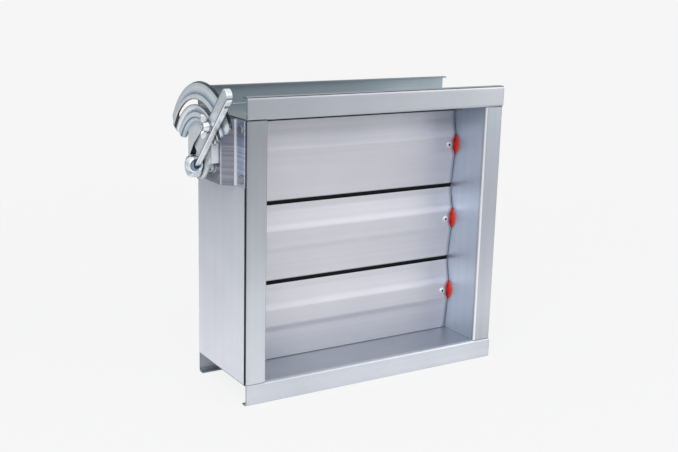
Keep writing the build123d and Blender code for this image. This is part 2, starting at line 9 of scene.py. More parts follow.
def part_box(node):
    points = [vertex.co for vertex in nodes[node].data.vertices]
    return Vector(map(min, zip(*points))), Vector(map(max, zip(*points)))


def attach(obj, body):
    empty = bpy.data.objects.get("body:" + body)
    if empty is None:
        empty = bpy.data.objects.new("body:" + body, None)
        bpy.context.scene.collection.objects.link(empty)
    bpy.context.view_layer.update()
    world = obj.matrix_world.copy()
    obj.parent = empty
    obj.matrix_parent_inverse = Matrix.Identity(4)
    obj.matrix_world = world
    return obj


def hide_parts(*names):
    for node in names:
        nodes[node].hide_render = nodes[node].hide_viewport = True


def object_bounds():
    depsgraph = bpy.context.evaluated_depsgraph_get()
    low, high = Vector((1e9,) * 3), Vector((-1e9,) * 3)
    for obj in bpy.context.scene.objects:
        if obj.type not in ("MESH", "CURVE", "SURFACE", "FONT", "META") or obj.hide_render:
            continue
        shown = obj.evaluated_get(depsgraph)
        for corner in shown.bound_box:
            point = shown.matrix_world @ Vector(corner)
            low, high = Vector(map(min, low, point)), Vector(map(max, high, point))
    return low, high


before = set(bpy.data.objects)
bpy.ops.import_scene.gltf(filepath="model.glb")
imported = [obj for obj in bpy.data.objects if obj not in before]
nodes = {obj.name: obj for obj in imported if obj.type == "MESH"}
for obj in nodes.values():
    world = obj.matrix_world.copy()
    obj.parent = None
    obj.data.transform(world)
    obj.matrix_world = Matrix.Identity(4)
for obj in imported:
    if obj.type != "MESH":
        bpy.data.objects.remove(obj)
cad_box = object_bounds()


# ---------------------------------------------------------------- frame channels
# Four roll-formed channels of hot-dip galvanised steel, butted and riveted at the corners, and two
# blade stops of the same strip.  The zinc is even and satin, with faint bands along the strip.
# Over
# it lies painted light and shade: thin dark lines at its edges and folds, a bright line along one
# fold, darker and lighter stretches along the channels, and changed tones on the inner faces.
def new_material(name):
    """Empty node material: returns it with its tree and its shader."""
    made = bpy.data.materials.new(name)
    made.use_nodes = True
    return made, made.node_tree, made.node_tree.nodes["Principled BSDF"]


def port(ports, key):
    """A node's input or output by number, identifier or name."""
    named = {p.identifier: p for p in ports}
    return named[key] if key in named else ports[key]


def add(tree, kind, inputs=None, **settings):
    """A node with its settings and inputs; an input given as a socket is linked."""
    node = tree.nodes.new(kind)
    for key, value in settings.items():
        setattr(node, key, value)
    for key, value in (inputs or {}).items():
        if isinstance(value, bpy.types.NodeSocket):
            tree.links.new(value, port(node.inputs, key))
        else:
            port(node.inputs, key).default_value = value
    return node


def noise(tree, scale, detail=3.0, roughness=0.55):
    """Noise over Object coordinates, with a scale in cells per metre for each axis."""
    where = add(tree, "ShaderNodeTexCoord")
    drawn = add(tree, "ShaderNodeMapping", {"Vector": where.outputs["Object"], "Scale": scale})
    cells = add(tree, "ShaderNodeTexNoise", {"Vector": drawn.outputs[0], "Scale": 1.0,
                                             "Detail": detail, "Roughness": roughness})
    return cells.outputs["Fac"]


def ramp(tree, factor, stops):
    """Colour ramp with the given (position, colour) stops."""
    node = add(tree, "ShaderNodeValToRGB", {"Fac": factor})
    elements = node.color_ramp.elements
    while len(elements) < len(stops):
        elements.new(0.5)
    for element, (position, colour) in zip(elements, stops):
        element.position = position
        element.color = (*colour, 1.0)
    return node.outputs["Color"]


def mixed(tree, factor, first, second, blend="MIX"):
    """Two colours mixed by a factor; each is a socket or three numbers."""
    first, second = [c if isinstance(c, bpy.types.NodeSocket) else (*c, 1.0)
                     for c in (first, second)]
    node = add(tree, "ShaderNodeMix", {"Factor_Float": factor, "A_Color": first,
                                       "B_Color": second}, data_type="RGBA", blend_type=blend)
    return port(node.outputs, "Result_Color")


def edge_line(tree, reach, low, high):
    """1 along outer edges and tight bends, falling to 0 at the reach from them."""
    shut = add(tree, "ShaderNodeAmbientOcclusion", {"Distance": reach}, inside=True, samples=8)
    return add(tree, "ShaderNodeMapRange", {"Value": shut.outputs["AO"], "From Min": high,
                                            "From Max": low}).outputs["Result"]


def along_axis(tree, axis, start, end):
    """0 at one Object coordinate on an axis (0, 1 or 2), rising evenly to 1 at another."""
    where = add(tree, "ShaderNodeTexCoord")
    split = add(tree, "ShaderNodeSeparateXYZ", {0: where.outputs["Object"]})
    return add(tree, "ShaderNodeMapRange", {"Value": split.outputs[axis], "From Min": start,
                                            "From Max": end}).outputs["Result"]


def band(tree, axis, low, high, soft):
    """1 between two Object coordinates on an axis, falling to 0 over a soft width outside."""
    rising = along_axis(tree, axis, low - soft, low)
    falling = along_axis(tree, axis, high + soft, high)
    return add(tree, "ShaderNodeMath", {0: rising, 1: falling}, operation="MULTIPLY").outputs[0]


def rolled_zinc(name, along, dark, light, roughness, streak=0.4, metallic=0.85, edge=0.55,
                reach=0.0012, fine=150.0, painted_light_ramps=(), painted_inside_light=(), painted_fold_lines=()):
    """Galvanised sheet: cloudy grain and faint bands along one axis, with thin dark edges of
    painted shade.

    along is the axis or axes of the bands, and fine is how many lie in a metre across them.
    streak is the bands' share in the grain, edge the strength of the painted edge shade and reach
    its width.  painted_light_ramps are (axis, start, end, tone), painted light and shade that
    comes in between two places; painted_inside_light are (band, tone), painted light and shade on
    inner faces; painted_fold_lines are (bands, colour), a narrow painted shade line in a dark
    colour and a painted highlight line in a bright one, where all of its bands meet.
    """
    made, tree, shader = new_material(name)
    cloud_scale, band_scale, painted_edge_shade = 11, 1.5, (0.05, 0.06, 0.065)
    cloud = noise(tree, (cloud_scale, cloud_scale, cloud_scale), 4.0)
    drawn = [fine, fine, fine]
    for axis in np.atleast_1d(along):
        drawn[axis] = band_scale
    lines = noise(tree, tuple(drawn), 3.0, 0.6)
    both = add(tree, "ShaderNodeMix", {"Factor_Float": streak, "A_Float": cloud,
                                       "B_Float": lines}).outputs["Result"]
    colour = ramp(tree, both, [(0.30, dark), (0.70, light)])
    # Painted light and shade along an axis, on inner faces, and as narrow lines along folds.
    for axis, start, end, tone in painted_light_ramps:
        colour = mixed(tree, along_axis(tree, axis, start, end), colour, tone, "MULTIPLY")
    for place, tone in painted_inside_light:
        colour = mixed(tree, band(tree, *place), colour, tone, "MULTIPLY")
    for bands, tone in painted_fold_lines:
        meet = band(tree, *bands[0])
        for other in bands[1:]:
            meet = add(tree, "ShaderNodeMath", {0: meet, 1: band(tree, *other)},
                       operation="MULTIPLY").outputs[0]
        colour = mixed(tree, meet, colour, tone)
    # Painted shade: thin dark lines along edges and tight bends.
    line = edge_line(tree, reach, 0.5, 0.95)
    weight = add(tree, "ShaderNodeMath", {0: line, 1: edge}, operation="MULTIPLY").outputs[0]
    colour = mixed(tree, weight, colour, painted_edge_shade)
    tree.links.new(colour, shader.inputs["Base Color"])
    gloss = add(tree, "ShaderNodeMapRange",
                {"Value": both, "From Min": 0.3, "From Max": 0.7, "To Min": roughness + 0.04,
                 "To Max": roughness - 0.04})
    tree.links.new(gloss.outputs["Result"], shader.inputs["Roughness"])
    grain = add(tree, "ShaderNodeBump", {"Strength": 0.05, "Distance": 0.00005, "Height": lines})
    tree.links.new(grain.outputs["Normal"], shader.inputs["Normal"])
    shader.inputs["Metallic"].default_value = metallic
    return made


def finish_nodes(made, *names):
    """Give CAD nodes a finish."""
    for name in names:
        materials = nodes[name].data.materials
        for i in range(len(materials)):
            materials[i] = made
        if not len(materials):
            materials.append(made)


zinc_dark, zinc_light, satin = (0.545, 0.565, 0.605), (0.640, 0.660, 0.700), 0.40
# Colours of painted shade lines and painted highlight lines along folds and rims.
painted_fold_shade, painted_fold_highlight = (0.10, 0.11, 0.115), (0.97, 0.98, 1.0)
half_frame, half_open, face_y = 0.1754, 0.150, -0.0635


def strip_at(axis, place, below, above, soft=0.0003):
    """Band of the object round a place on an axis, from so far below it to so far above it."""
    return axis, place - below, place + above, soft


front = strip_at(1, face_y, 0.001, 0.0016, 0.0004)
back = strip_at(1, -face_y, 0.0016, 0.001, 0.0004)
inside = (1, face_y + 0.006, -face_y - 0.0009, 0.0004)
top_rim = strip_at(2, half_frame, 0.0009, 0.001)
# Painted shade: darker towards the ends, most on the left; darker inner faces; dark lines along
# the top rims and the front flange's opening edge.
top_strip = rolled_zinc(
    "galvanised_top_strip", 0, zinc_dark, zinc_light, satin,
    painted_light_ramps=[(0, 0.16, -0.16, (0.83, 0.83, 0.84)), (0, -0.5, 0.5, (0.93, 0.92, 0.92))],
    painted_inside_light=[(inside, (0.68, 0.755, 0.76))],
    painted_fold_lines=[([top_rim, front], painted_fold_shade), ([top_rim, back], painted_fold_shade),
              ([strip_at(2, half_open, 0.001, 0.0004, 0.0002), front], painted_fold_shade)])
# Painted light and shade: a lighter front face, darker inner faces and a dark line along the
# bottom front edge.
bottom_strip = rolled_zinc(
    "galvanised_bottom_strip", 0, zinc_dark, zinc_light, satin,
    painted_light_ramps=[(1, face_y + 0.004, face_y + 0.001, (1.09, 1.09, 1.10))],
    painted_inside_light=[(inside, (0.69, 0.73, 0.76))],
    painted_fold_lines=[([strip_at(2, -half_frame, 0.001, 0.0005), front], painted_fold_shade)])
# Painted light and shade: darker towards the top, lighter towards the bottom, and a dark line at
# the front flange's opening edge.
left_strip = rolled_zinc(
    "galvanised_left_strip", 2, zinc_dark, zinc_light, satin,
    painted_light_ramps=[(2, -0.05, 0.13, (0.66, 0.66, 0.67)), (2, 0.0, -0.14, (1.12, 1.12, 1.13))],
    painted_fold_lines=[([strip_at(0, -half_open, 0.0006, 0.001), front], painted_fold_shade)])
# Painted light and shade: darker towards the top and at the bottom, a lighter and bluer inner
# wall, a painted highlight along the front flange's inner fold and a dark line at the outer front
# edge.
right_strip = rolled_zinc(
    "galvanised_right_strip", 2, zinc_dark, zinc_light, satin,
    painted_light_ramps=[(2, -0.10, 0.02, (0.84, 0.86, 0.88)), (2, 0.05, 0.15, (1.02, 1.02, 1.02)),
            (2, -0.115, -0.150, (0.84, 0.84, 0.84))],
    painted_inside_light=[(inside, (1.17, 1.26, 1.34))],
    painted_fold_lines=[([strip_at(0, half_open, 0.0006, 0.0016),
                strip_at(1, face_y, 0.001, 0.0024, 0.0004)], painted_fold_highlight),
              ([strip_at(0, half_frame, 0.0007, 0.001), front], painted_fold_shade)])
stop_strip = rolled_zinc("galvanised_stop_strip", 0, zinc_dark, zinc_light, satin)
rivet_zinc = rolled_zinc("rivet_zinc", 2, (0.52, 0.54, 0.57), (0.66, 0.68, 0.71), 0.34)
finish_nodes(top_strip, "frame_top_channel")
finish_nodes(bottom_strip, "frame_bottom_channel")
finish_nodes(left_strip, "frame_left_channel")
finish_nodes(right_strip, "frame_right_channel")
finish_nodes(stop_strip, "top_blade_stop", "bottom_blade_stop")
finish_nodes(rivet_zinc, "corner_rivets")


# ---------------------------------------------------------------- side cover
# A flat galvanised panel over the linkage on the left.  Along its front edge at the flange runs a
# thin black bead that is painted shade for the gap there, and shows as a thin black upright line.
cover_zinc = rolled_zinc("galvanised_cover", 2, (0.715, 0.730, 0.785), (0.795, 0.810, 0.865), 0.38,
                         edge=0.3)
finish_nodes(cover_zinc, "side_cover")


def grid_faces(rows, columns, start=0):
    """One quad for each cell of a grid of points, numbered by rows from start."""
    index = start + np.arange(rows * columns).reshape(rows, columns)
    corners = np.stack([index[:-1, :-1], index[1:, :-1], index[1:, 1:], index[:-1, 1:]], -1)
    return corners.reshape(-1, 4)


def put_piece(name, mesh, body, made, replaced):
    """The finished mesh as a piece at the origin, with its finish and body, and its replaced nodes
    hidden.
    """
    mesh.materials.append(made)
    piece = bpy.data.objects.new(name, mesh)
    bpy.context.scene.collection.objects.link(piece)
    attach(piece, body)
    if replaced:
        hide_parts(*replaced)
    return piece


def put_mesh(name, grids, body, made, replaced=(), sharp=0.6, marks=None):
    """One closed piece from grids of points (rows, columns, 3) in metres.

    Each cell of a grid is one quad.  Doubled points are merged and normals turned outward.
    marks names a value held at each point, one array for each grid.
    """
    places, faces, start = [], [], 0
    for grid in grids:
        rows, columns = grid.shape[:2]
        places.append(grid.reshape(-1, 3))
        faces.append(grid_faces(rows, columns, start))
        start += rows * columns
    mesh = bpy.data.meshes.new(name)
    mesh.from_pydata(np.concatenate(places).tolist(), [], np.concatenate(faces).tolist())
    for mark, values in (marks or {}).items():
        held = mesh.attributes.new(mark, "FLOAT", "POINT")
        held.data.foreach_set("value", np.concatenate([v.ravel() for v in values]))
    shell = bmesh.new()
    shell.from_mesh(mesh)
    bmesh.ops.remove_doubles(shell, verts=shell.verts, dist=2e-6)
    bmesh.ops.dissolve_degenerate(shell, edges=shell.edges, dist=1e-7)
    bmesh.ops.recalc_face_normals(shell, faces=shell.faces)
    shell.to_mesh(mesh)
    shell.free()
    mesh.shade_smooth()
    mesh.set_sharp_from_angle(angle=sharp)
    put_piece(name, mesh, body, made, replaced)


def swept(section, start, end, axis=0):
    """A closed section of (b, c) points carried from start to end along an axis.

    Rows are: the section's middle, the section at start, at end, and its middle again.
    """
    ring = np.concatenate([section, section[:1]])
    middle = np.repeat(section.mean(0, keepdims=True), len(ring), 0)
    rows = [(start, middle), (start, ring), (end, ring), (end, middle)]
    grid = np.empty((4, len(ring), 3))
    others = [k for k in range(3) if k != axis]
    for row, (reach, flat) in enumerate(rows):
        grid[row, :, axis] = reach
        grid[row][:, others] = flat
    return grid


def oval(half_b, half_c, power=2.0, count=24):
    """Rounded outline: |b / half_b| and |c / half_c|, each to the power, add up to 1."""
    turn = np.linspace(0, 2 * np.pi, count, endpoint=False)
    b, c = np.cos(turn), np.sin(turn)
    shape = 2.0 / power
    return np.stack([half_b * np.sign(b) * np.abs(b) ** shape,
                     half_c * np.sign(c) * np.abs(c) ** shape], -1)


def dull_black(name, scale, dark, light, roughness, specular):
    """Black rubber, and black strips of painted shade, faintly clouded, with the given shine."""
    made, tree, shader = new_material(name)
    clouded = ramp(tree, noise(tree, scale), [(0.3, dark), (0.7, light)])
    tree.links.new(clouded, shader.inputs["Base Color"])
    shader.inputs["Roughness"].default_value = roughness
    shader.inputs["Specular IOR Level"].default_value = specular
    return made


# Painted shade: a black strip standing in for the shadow in the gap between cover and flange.
gap_shadow_black = dull_black("cover_gap_shadow", (400, 400, 60), (0.010, 0.012, 0.013),
                     (0.022, 0.025, 0.027), 0.8, 0.2)
cover_low, cover_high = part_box("side_cover")
bead_half, bead_x, bead_y = (0.0009, 0.0011), cover_low[0] + 0.0007, cover_low[1] + 0.0002
bead = oval(*bead_half, power=2.6) + (bead_x, bead_y)
put_mesh("cover_gap_shadow_bead", [swept(bead, cover_low[2], cover_high[2], axis=2)], "frame",
         gap_shadow_black)


# ---------------------------------------------------------------- bushes
# Moulded plastic bushes pressed into both side walls, which the blade shafts turn in.  Each is a
# ring with a low dome towards the blade, deeper red at its middle than at its thin rim.
def turned(profile, centre, axis, count=48):
    """A profile of (along the axis, radius) points turned about an axis through a centre."""
    turn = np.linspace(0, 2 * np.pi, count + 1)
    others = [k for k in range(3) if k != axis]
    grid = np.empty((len(profile), count + 1, 3))
    grid[..., axis] = profile[:, :1]
    grid[..., others[0]] = centre[0] + profile[:, 1:] * np.cos(turn)
    grid[..., others[1]] = centre[1] + profile[:, 1:] * np.sin(turn)
    return grid


plastic, tree, shader = new_material("bush_plastic")
core = add(tree, "ShaderNodeAttribute", attribute_name="core").outputs["Fac"]
clear_red = ramp(tree, core, [(0.0, (0.92, 0.16, 0.06)), (0.45, (0.84, 0.07, 0.03)),
                              (1.0, (0.60, 0.012, 0.012))])
cloudy_red = mixed(tree, noise(tree, (500, 500, 500), 2.0), clear_red, (0.80, 0.06, 0.02),
                   "MULTIPLY")
tree.links.new(mixed(tree, 0.25, clear_red, cloudy_red), shader.inputs["Base Color"])
shader.inputs["Roughness"].default_value = 0.38

axis_heights = {"top": 0.0965, "middle": 0.0, "bottom": -0.0965}
wall_x, shaft_r = 0.150, 0.00635
bore_r, lip_r = shaft_r + 0.0001, shaft_r + 0.0004
crest_r, dome_r, dome_rise, dome_power = shaft_r + 0.0009, 0.0134, 0.0044, 1.8
neck_r, barb_r, neck_x, barb_x = 0.0095, 0.0110, -0.0015, -0.0040
chamfer = 0.0002
dome = np.linspace(0, 1, 14)[:, None]
dome_radius = crest_r + (dome_r - crest_r) * dome
dome_place = dome_rise * (1 - (dome_radius / dome_r) ** dome_power)
crest_x = dome_place[0, 0]
bush_profile = np.concatenate([
    [(barb_x, bore_r), (crest_x - 0.0005, bore_r), (crest_x, lip_r)],
    np.concatenate([dome_place, dome_radius], 1),
    [(0.0, dome_r + chamfer), (0.0, neck_r), (neck_x, neck_r), (neck_x, barb_r),
     (barb_x + chamfer, barb_r), (barb_x, barb_r - chamfer), (barb_x, bore_r)]])
bush_count = 48
depth_in_dome = np.clip(1.25 - bush_profile[:, 1:] / dome_r, 0, 1)
core_mark = depth_in_dome * np.ones((1, bush_count + 1)) * 2.0
for side, which in ((-1, "left"), (1, "right")):
    profile = bush_profile.copy()
    profile[:, 0] = side * (wall_x - bush_profile[:, 0])
    rings = [turned(profile, (0.0, z), 0, bush_count) for z in axis_heights.values()]
    put_mesh(f"bush_rings_{which}", rings, "frame", plastic,
             (f"bushes_{which}",), marks={"core": [core_mark] * 3})


# ---------------------------------------------------------------- blades
# Each blade is two pressed skins of galvanised strip round its shaft: a flat over the shaft, two
# shallow wings, and ends notched round the bushes.  The rolled face has wide, faint bands.
MM = 0.001
blade_zinc = rolled_zinc("blade_strip", 0, (0.615, 0.605, 0.650), (0.675, 0.665, 0.712), 0.50,
                         streak=0.55, metallic=0.75, edge=0.35, reach=0.0005)
blade_end, skin = 0.1493, 0.0008
blade_heights = np.array((-53.0, -17.0, -9.8, 9.8, 17.0, 33.0)) * MM
blade_halves = np.array((0.8, 4.7, 7.15, 7.15, 4.7, 1.4)) * MM
notch_half, notch_depth = 0.0142, 0.0050
blade_bodies = {"top": "top_blade", "middle": "middle_blade", "bottom": "bottom_blade"}
blade_tops = {"top": 0.0428, "middle": 0.0405, "bottom": 0.0405}
bend_reach = 0.0016


def bent(where, corners, values):
    """Straight runs between corners, as their running mean over a bend's reach either way."""
    near = np.linspace(-bend_reach, bend_reach, 9)[:, None]
    return np.interp(where[None] + near, corners, values).mean(0)


def pressed_skin(name, z, top, face, body, replaced):
    """Blade skin as a sheet: depth is the running mean of straight runs against height.

    Its ends draw in by notch_depth times (1 - (height / notch_half) squared) at each bush.
    """
    height = np.linspace(blade_heights[0], top, 150)
    across = np.linspace(-1, 1, 61)[:, None]
    notch = notch_depth * np.clip(1 - (height / notch_half) ** 2, 0, 1)
    grid = np.empty((len(across), len(height), 3))
    grid[..., 0] = across * (blade_end - notch)
    grid[..., 1] = face * bent(height, blade_heights, blade_halves)
    grid[..., 2] = z + height
    faces = grid_faces(*grid.shape[:2])
    if face > 0:
        faces = faces[:, ::-1]
    mesh = bpy.data.meshes.new(name)
    mesh.from_pydata(grid.reshape(-1, 3).tolist(), [], faces.tolist())
    mesh.shade_smooth()
    piece = put_piece(name, mesh, body, blade_zinc, (replaced,))
    wall = piece.modifiers.new("wall", "SOLIDIFY")
    wall.thickness, wall.offset = skin, -1.0


for blade, z in axis_heights.items():
    for face, side in ((-1, "front"), (1, "rear")):
        pressed_skin(f"blade_{blade}_{side}_panel", z, blade_tops[blade], face,
                     blade_bodies[blade], f"blade_{blade}_{side}_skin")


# ---------------------------------------------------------------- blade seals
# Extruded black rubber along the upper edge of each blade: a round bulb that closes the gap to the
# next blade, with a fin that leans back against it.
rubber = dull_black("seal_rubber", (20, 600, 600), (0.003, 0.003, 0.004), (0.007, 0.007, 0.009),
                    0.85, 0.15)
bulb_half, bulb_drop = (0.0011, 0.0021), 0.0030
tongue_half, tongue_rise = (0.0005, 0.0050), 0.0055
fin_half, fin_lean, fin_y, fin_drop = (0.0004, 0.0024), np.radians(32), 0.0014, 0.0024
lean = np.array(((np.cos(fin_lean), -np.sin(fin_lean)), (np.sin(fin_lean), np.cos(fin_lean))))
for blade in axis_heights:
    low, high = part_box(f"blade_{blade}_seal")
    bulb = oval(*bulb_half, power=2.4) + (0.0, high[2] - bulb_drop)
    tongue = oval(*tongue_half, power=6.0) + (0.0, low[2] + tongue_rise)
    fin = oval(*fin_half, power=5.0) @ lean + (fin_y, high[2] - fin_drop)
    strips = [swept(part, -blade_end, blade_end) for part in (bulb, tongue, fin)]
    put_mesh(f"blade_{blade}_bulb_seal", strips, blade_bodies[blade], rubber,
             (f"blade_{blade}_seal",))


# ---------------------------------------------------------------- blade rivets
# Blind rivets that hold the skins to the shaft: a bright pressed ring in front, with a dish round
# the stub of the mandrel, painted near-black as shade in the hollow, and a rounded bulb at the
# back.
rivet_metal, tree, shader = new_material("rivet_metal")
core = add(tree, "ShaderNodeAttribute", attribute_name="core").outputs["Fac"]
# The near-black stops are painted shade in the rivet's hollow middle.
tone = ramp(tree, core, [(0.0, (0.80, 0.81, 0.84)), (0.35, (0.62, 0.64, 0.68)),
                         (0.55, (0.03, 0.03, 0.04)), (1.0, (0.015, 0.015, 0.02))])
cloudy = ramp(tree, noise(tree, (900, 900, 900)), [(0.3, (0.86, 0.86, 0.88)), (0.7, (1, 1, 1))])
tree.links.new(mixed(tree, 1.0, tone, cloudy, "MULTIPLY"), shader.inputs["Base Color"])
shader.inputs["Roughness"].default_value = 0.42
shader.inputs["Metallic"].default_value = 0.6
rivet_x, rivet_count = 0.138, 32
rivet_profile = np.array([
    (-8.05, 0.0), (-8.05, 1.1), (-8.05, 1.35), (-8.75, 1.6), (-8.92, 2.1), (-8.85, 2.9),
    (-8.45, 3.7), (-7.75, 4.1), (-7.15, 4.15), (-7.15, 2.4), (7.15, 2.4), (7.15, 3.7),
    (8.0, 3.8), (8.7, 3.1), (9.0, 1.6), (9.05, 0.0)]) * MM
rivet_hollow_shade = np.zeros(len(rivet_profile))
rivet_hollow_shade[:4] = 1.0, 1.0, 0.9, 0.25
rivet_shade_marks = rivet_hollow_shade[:, None] * np.ones((1, rivet_count + 1))
for blade, z in axis_heights.items():
    pair = [turned(rivet_profile, (x, z), 1, rivet_count) for x in (-rivet_x, rivet_x)]
    put_mesh(f"blade_{blade}_blind_rivets", pair, blade_bodies[blade],
             rivet_metal, (f"blade_{blade}_rivets",), marks={"core": [rivet_shade_marks] * 2})


# ---------------------------------------------------------------- shafts and linkage
# Drawn steel shafts, pressed cranks clamped on them with set screws, and the flat tie bar that
# joins the cranks' pins.  All of it runs inside the left channel.
shaft_steel = rolled_zinc("shaft_steel", 0, (0.22, 0.27, 0.33), (0.36, 0.42, 0.49), 0.34,
                          streak=0.7, metallic=1.0)
link_steel = rolled_zinc("linkage_steel", 2, (0.48, 0.51, 0.54), (0.62, 0.65, 0.68), 0.36,
                         metallic=1.0)
finish_nodes(shaft_steel, "drive_shaft", "axle_middle", "axle_bottom")
finish_nodes(link_steel, "tie_bar")
for blade in axis_heights:
    finish_nodes(link_steel, f"crank_{blade}", f"crank_pin_{blade}")
    finish_nodes(shaft_steel, f"crank_screw_{blade}", f"crank_clip_{blade}")


# ---------------------------------------------------------------- lever bracket
# A hat-section bracket of galvanised plate, held on the cover by four zinc-plated screws.  Its
# walls carry fine level brush marks, each bend shows a narrow painted highlight line, and the
# front toe is painted lighter.
foot_y, crown_y, toe_y = 0.043, 0.033, 0.062
# Painted light: the front toe lighter, and narrow painted highlights along the foot and crown
# bends.
bracket_plate = rolled_zinc(
    "bracket_sheet", (0, 1), (0.20, 0.205, 0.245), (0.46, 0.47, 0.545), 0.34, streak=0.85,
    metallic=0.85, edge=0.3, fine=420.0,
    painted_light_ramps=[(1, -foot_y + 0.001, -foot_y - 0.003, (1.85, 1.98, 2.10))],
    painted_fold_lines=[([strip_at(1, -foot_y, 0.0012, 0.0008, 0.0005)], (0.92, 0.94, 0.98)),
              ([strip_at(1, -crown_y, 0.0006, 0.0008, 0.0004)], (0.80, 0.82, 0.88))])
bracket_low, bracket_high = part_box("lever_bracket")
bracket_wall = 0.0015
crown_x, foot_x = bracket_low[0] + bracket_wall / 2, cover_low[0] - bracket_wall / 2
corner_x = np.array((foot_x, foot_x, crown_x, crown_x, foot_x, foot_x))
corner_y = np.array((toe_y, foot_y, crown_y, -crown_y, -foot_y, -toe_y))
run = np.concatenate([[0], np.cumsum(np.hypot(np.diff(corner_x), np.diff(corner_y)))])
step = np.linspace(0, run[-1], 320)
hat_x, hat_y = bent(step, run, corner_x), bent(step, run, corner_y)
aside = np.stack([np.gradient(hat_y), -np.gradient(hat_x)], -1)
aside *= bracket_wall / 2 / np.linalg.norm(aside, axis=1, keepdims=True)
spine = np.stack([hat_x, hat_y], -1)
shell_ring = np.concatenate([spine + aside, (spine - aside)[::-1], (spine + aside)[:1]])


def hat_walls(ring, low, high):
    """Hat section, a closed strip of (x, y) points, carried up from low to high and closed."""
    walls = np.empty((2, len(ring), 3))
    walls[..., :2] = ring
    walls[0, :, 2], walls[1, :, 2] = low, high
    half = (len(ring) - 1) // 2
    ends = []
    for level in (0, 1):
        outer, inner = walls[level, :half], walls[level, half:2 * half][::-1]
        ends.append(np.stack([outer, inner]))
    return [walls, *ends]


put_mesh("bracket_hat", hat_walls(shell_ring, bracket_low[2], bracket_high[2]), "frame",
         bracket_plate, ("lever_bracket",), sharp=0.7)
screw_metal = rolled_zinc("screw_zinc", 2, (0.40, 0.42, 0.46), (0.56, 0.58, 0.62), 0.36)
finish_nodes(screw_metal, "bracket_screws")


# ---------------------------------------------------------------- quadrant, lever and bearing
# Pressed steel quadrant and channel lever, a flange bearing with its bolts and nuts, the lock bolt
# with its washer, and the lever's hub, all in bright blue-white zinc plate.  Close gaps carry
# painted dark teal shade, and rims and folds are drawn with thin dark lines of painted shade.
def apart_from(tree, centre):
    """Object coordinates less those of a centre."""
    where = add(tree, "ShaderNodeTexCoord")
    return add(tree, "ShaderNodeVectorMath", {0: where.outputs["Object"], 1: centre},
               operation="SUBTRACT").outputs[0]


def distance_from(tree, centre, axes):
    """Distance of Object coordinates from a centre, along the axes given as ones and noughts."""
    flat = add(tree, "ShaderNodeVectorMath", {0: apart_from(tree, centre), 1: axes},
               operation="MULTIPLY")
    return add(tree, "ShaderNodeVectorMath", {0: flat.outputs[0]}, operation="LENGTH").outputs[1]


def signed_from(tree, centre, direction):
    """How far Object coordinates lie from a centre along a direction."""
    return add(tree, "ShaderNodeVectorMath", {0: apart_from(tree, centre), 1: direction},
               operation="DOT_PRODUCT").outputs[1]


def toned(tree, length, stops):
    """Colour by a length in metres, from stops of (place in millimetres, colour)."""
    low, high = stops[0][0], stops[-1][0]
    part = add(tree, "ShaderNodeMapRange", {"Value": length, "From Min": low * MM,
                                            "From Max": high * MM}).outputs["Result"]
    return ramp(tree, part, [((place - low) / (high - low), tone) for place, tone in stops])


def bright_plate(name, light, dark, roughness, reach=0.007, rim=0.0012, tones=None):
    """Bright zinc plate: pale on open faces, painted dark teal shade in gaps, and thin dark rims
    of painted shade.

    tones is a function that gives a colour to multiply by, such as painted shade lines along a
    fold.
    """
    made, tree, shader = new_material(name)
    cloud = noise(tree, (60, 60, 60), 3.0)
    cloudy, painted_rim_shade = 0.88, (0.04, 0.06, 0.07)
    pale = ramp(tree, cloud, [(0.3, tuple(cloudy * c for c in light)), (0.7, light)])
    if tones:
        pale = mixed(tree, 1.0, pale, tones(tree), "MULTIPLY")
    # Painted shade: dark teal where other surfaces lie close, and dark lines at rims.
    shut = add(tree, "ShaderNodeAmbientOcclusion", {"Distance": reach}, samples=8)
    gap = add(tree, "ShaderNodeMapRange", {"Value": shut.outputs["AO"], "From Min": 0.78,
                                           "From Max": 0.22}).outputs["Result"]
    colour = mixed(tree, gap, pale, dark)
    colour = mixed(tree, edge_line(tree, rim, 0.45, 0.90), colour, painted_rim_shade)
    tree.links.new(colour, shader.inputs["Base Color"])
    shine = add(tree, "ShaderNodeMapRange", {"Value": cloud, "From Min": 0.3, "From Max": 0.7,
                                             "To Min": roughness + 0.05, "To Max": roughness})
    tree.links.new(shine.outputs["Result"], shader.inputs["Roughness"])
    shader.inputs["Metallic"].default_value = 0.55
    return made


drive_centre = (0.0, 0.0, axis_heights["top"])
lever_angle = np.radians(44.8)
painted_line_shade, plain = (0.02, 0.035, 0.05), (1.0, 1.0, 1.0)


def painted_ring_shading(tree):
    """Painted shade by radius over the shaft: dark lines at rim and creases, painted blue
    reflection beside some of them, and pale beads between them.
    """
    far = distance_from(tree, drive_centre, (0, 1, 1))
    blue = (0.62, 0.71, 0.80)
    return toned(tree, far, [
        (40.0, plain), (45.0, (0.62, 0.70, 0.76)), (49.5, blue), (51.0, painted_line_shade),
        (52.2, plain), (56.0, plain), (57.4, (0.16, 0.22, 0.28)), (59.2, blue), (61.0, plain),
        (64.2, plain), (65.1, painted_line_shade), (70.9, painted_line_shade), (71.9, plain), (75.0, plain),
        (77.4, (0.10, 0.14, 0.20)), (78.8, (0.62, 0.70, 0.79)), (82.0, (0.96, 0.98, 1.0)),
        (87.8, plain), (89.0, painted_line_shade)])


def painted_lever_shading(tree):
    """Painted shade across the lever: a dark line beside each long fold, slightly grey between
    them.
    """
    across = signed_from(tree, drive_centre, (0.0, np.cos(lever_angle), np.sin(lever_angle)))
    grey = (0.80, 0.83, 0.86)
    return toned(tree, across, [
        (-10.0, plain), (-7.6, plain), (-6.9, painted_line_shade), (-6.0, grey), (0.0, (0.90, 0.93, 0.95)),
        (5.4, grey), (6.5, painted_line_shade), (7.2, (0.7, 0.74, 0.78)), (7.9, painted_line_shade)])


